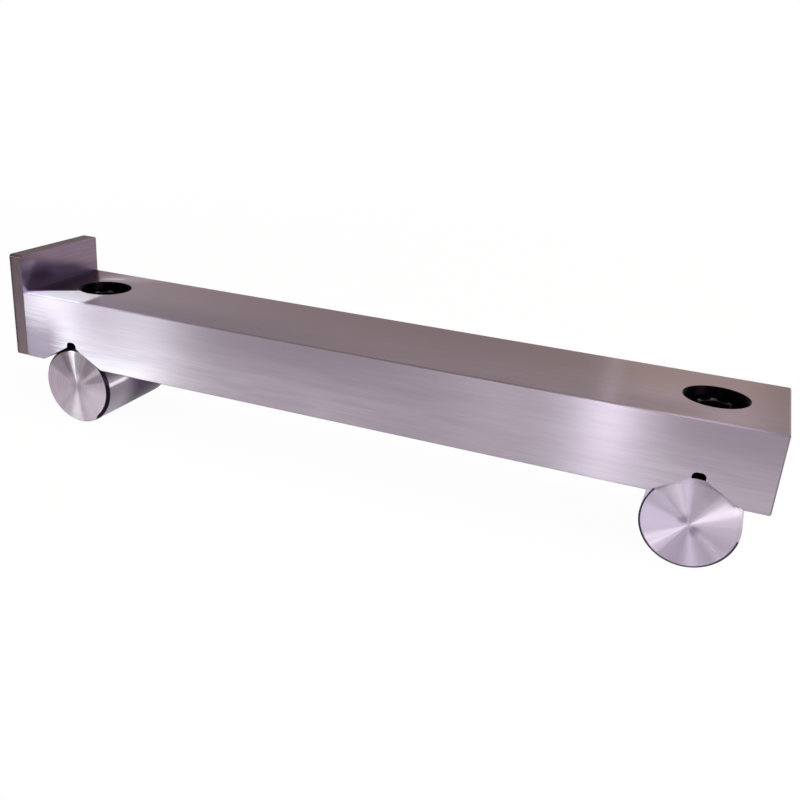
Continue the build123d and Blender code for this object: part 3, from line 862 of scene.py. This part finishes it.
def finishRadialTree(add, given, flat, inward):
    back = add("Math", [inward, -1.0], **times)
    offset = add("VectorMath", [flat], operation="NORMALIZE")
    offset = add("VectorMath", {0: offset, "Scale": back}, operation="SCALE")
    moved = add("GeometryNodeSetPosition", {"Geometry": given["Geometry"], "Offset": offset})
    solid = add("GeometryNodeRealizeInstances", {"Geometry": moved})
    dressed = add("GeometryNodeSetMaterial", {"Geometry": solid, "Material": given["Material"]})
    add("NodeGroupOutput", {"Geometry": dressed})


def straightKnurlTree():
    controls = ("Ridge count", "Groove depth", "Lower height", "Upper height", "Run-out", "Least radius")
    tree, add, given, angle, flat, within = startRadialTree("straightKnurl", controls)[:6]
    wave = add("Math", [angle, given["Ridge count"]], **times)
    wave = add("Math", [wave, 0.5], **times)
    wave = add("Math", [wave], operation="SINE")
    wave = add("Math", [wave], operation="ABSOLUTE")
    wave = add("Math", [1.0, wave], **minus)
    outer = add("VectorMath", [flat], "Value", operation="LENGTH")
    outer = add("Math", [outer, given["Least radius"]], operation="GREATER_THAN")
    inward = add("Math", [wave, given["Groove depth"]], **times)
    inward = add("Math", [inward, outer], **times)
    inward = add("Math", [inward, within], **times)
    finishRadialTree(add, given, flat, inward)
    return tree


def screwThreadTree():
    controls = ("Pitch", "Thread depth", "Lower height", "Upper height", "Run-out")
    tree, add, given, angle, flat, within, height = startRadialTree("screwThread", controls)
    turn = add("Math", [angle, 2 * math.pi], operation="DIVIDE")
    phase = add("Math", [height, given["Pitch"]], operation="DIVIDE")
    phase = add("Math", [phase, turn], **minus)
    phase = add("Math", [phase], operation="FRACT")
    groove = add("Math", [phase, 2.0, -1.0], **timesPlus)
    groove = add("Math", [groove], operation="ABSOLUTE")
    cut = add("MapRange", [groove, 0.12, 0.85])  # flat crest and root, straight flanks
    inward = add("Math", [cut, given["Thread depth"]], **times)
    inward = add("Math", [inward, within], **times)
    finishRadialTree(add, given, flat, inward)
    return tree


def applyTree(mesh, tree, values, material):
    # Runs one tree on a mesh and gives the result back as a plain mesh
    carrier = addObject("carrier", mesh)
    modifier = carrier.modifiers.new(tree.name, "NODES")
    modifier.node_group = tree
    sockets = {s.name: s.identifier for s in tree.interface.items_tree if s.in_out == "INPUT"}
    for name, value in values.items():
        modifier[sockets[name]] = value
    modifier[sockets["Material"]] = material
    view = bpy.context.evaluated_depsgraph_get()
    result = bpy.data.meshes.new_from_object(carrier.evaluated_get(view))
    carrier.modifiers.clear()
    bpy.data.objects.remove(carrier)
    return result


def placePiece(name, mesh, matrix, body, node):
    sharpAngle = 32  # degrees
    mesh.transform(matrix)
    for polygon in mesh.polygons:
        polygon.use_smooth = True
    mesh.set_sharp_from_angle(angle=math.radians(sharpAngle))
    piece = addObject(name, mesh)
    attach(piece, body)
    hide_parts(node)


def shankRings(radius, top, bottom, chamfer, pitch):
    # Rings close enough together for the thread to be cut in them
    ringsPerPitch = 12
    count = int(round((top - bottom - chamfer) / pitch * ringsPerPitch))
    rows = [("round", radius, top + (bottom + chamfer - top) * i / count) for i in range(count + 1)]
    return rows + [("round", radius - chamfer, bottom), ("round", 0, bottom)]


knurlTree = straightKnurlTree()
threadTree = screwThreadTree()

capScrew = {
    # millimetres; heights from the underside of the head
    "headRadius": 5.0, "headHeight": 6.0, "headEdge": 0.5, "bearingEdge": 0.25,
    "hexAcross": 5.0, "hexDepth": 3.0, "hexMouth": 0.25, "hexCone": 0.6,
    "shankRadius": 3.0, "shankLength": 12.0, "neck": 0.8, "fillet": 0.2,
    "pitch": 1.0, "threadDepth": 0.58, "threadRunOut": 0.6, "tipChamfer": 0.5,
    "ridges": 42, "ridgeDepth": 0.22, "ridgeFoot": 0.4, "ridgeRunOut": 0.2,
    "turns": {"stop_end": 17, "free_end": 8},  # degrees, where each was left when it was tightened
}


def capScrewMesh(material):
    s = capScrew
    top, across = s["headHeight"], s["hexAcross"] / 2
    radius, edge, bearing = s["headRadius"], s["headEdge"], s["bearingEdge"]
    mouth = across / math.cos(math.pi / 6) + s["hexMouth"]
    rings = [
        ("round", 0, top - s["hexDepth"] - s["hexCone"]),
        ("hex", across * 0.96, top - s["hexDepth"]),
        ("hex", across, top - s["hexDepth"] + 0.1),
        ("hex", across, top - s["hexMouth"] - 0.05),
        ("round", mouth, top),
        ("round", radius - edge - 0.1, top),  # the head's edge is rounded in four steps
        ("round", radius - edge + 0.08, top - 0.04),
        ("round", radius - 0.12, top - edge + 0.12),
        ("round", radius, top - edge),
    ]
    rings += [("round", radius, top - edge - 0.2 * i) for i in range(1, 25)]  # rows for the knurl
    rings += [("round", radius - bearing, bearing), ("round", radius - 2 * bearing, 0.0)]
    rings += [("round", s["shankRadius"] + s["fillet"], 0.0), ("round", s["shankRadius"], -s["fillet"])]
    rings += shankRings(s["shankRadius"], -s["neck"], -s["shankLength"], s["tipChamfer"], s["pitch"])
    mesh = ringedMesh("capScrew", rings, s["ridges"] * 4)
    mesh = applyTree(mesh, knurlTree, {
        "Ridge count": float(s["ridges"]), "Groove depth": s["ridgeDepth"] * mm,
        "Run-out": s["ridgeRunOut"] * mm, "Lower height": s["ridgeFoot"] * mm,
        "Upper height": (top - edge + 0.05) * mm, "Least radius": (radius - 0.3) * mm}, material)
    return applyTree(mesh, threadTree, {
        "Pitch": s["pitch"] * mm, "Thread depth": s["threadDepth"] * mm, "Run-out": s["threadRunOut"] * mm,
        "Lower height": -(s["shankLength"] + s["threadRunOut"]) * mm,
        "Upper height": -s["neck"] * mm}, material)


for end, side in (("stop_end", -1), ("free_end", 1)):
    headTop = nodeBox(end + "_roller_screw")[1][2]
    seat = (bar["middle"] + side * bar["rollerReach"], 0, round(headTop - capScrew["headHeight"], 3))
    seat = Matrix.Translation([value * mm for value in seat])
    turn = Matrix.Rotation(math.radians(capScrew["turns"][end]), 4, "Z")
    mesh = capScrewMesh(blackOxide)
    placePiece(end + "_cap_screw", mesh, seat @ turn, "root", end + "_roller_screw")
print("cap screws made")

plateScrew = {
    # millimetres; heights from the head's outer face
    "headRadius": 4.0, "rim": 0.2, "hexAcross": 2.5, "hexDepth": 1.4, "hexMouth": 0.12, "hexCone": 0.35,
    "shankRadius": 2.0, "length": 10.0, "columns": 96,
    "pitch": 0.7, "threadDepth": 0.40, "threadRunOut": 0.6, "tipChamfer": 0.5,
}


def plateScrewMesh(material):
    s = plateScrew
    across, radius = s["hexAcross"] / 2, s["headRadius"]
    mouth = across / math.cos(math.pi / 6) + s["hexMouth"]
    coneEnd = -s["rim"] - (radius - s["shankRadius"])
    rings = [
        ("round", 0, -s["hexDepth"] - s["hexCone"]),
        ("hex", across * 0.95, -s["hexDepth"]),
        ("hex", across, -s["hexDepth"] + 0.06),
        ("hex", across, -s["hexMouth"] - 0.03),
        ("round", mouth, 0.0),
        ("round", radius - 0.12, 0.0),
        ("round", radius, -0.08),
        ("round", radius, -s["rim"]),
        ("round", s["shankRadius"] + 0.1, coneEnd + 0.1),
    ]
    rings += shankRings(s["shankRadius"], coneEnd, -s["length"], s["tipChamfer"], s["pitch"])
    mesh = ringedMesh("plateScrew", rings, s["columns"])
    return applyTree(mesh, threadTree, {
        "Pitch": s["pitch"] * mm, "Thread depth": s["threadDepth"] * mm, "Run-out": s["threadRunOut"] * mm,
        "Lower height": -(s["length"] + s["threadRunOut"]) * mm,
        "Upper height": (coneEnd - 0.3) * mm}, material)


for side in ("front", "back"):
    low, high = nodeBox("plate_screw_" + side)
    place = (low[0], round((low[1] + high[1]) / 2, 3), high[2] - plateScrew["headRadius"])
    place = Matrix.Translation(Vector(place) * mm)
    toLeft = Matrix.Rotation(math.radians(-90), 4, "Y")  # the head's Z turned to -X
    mesh = plateScrewMesh(blackOxide)
    place = place @ toLeft
    placePiece(side + "_countersunk_screw", mesh, place, "root", "plate_screw_" + side)
print("plate screws made")

print("done")
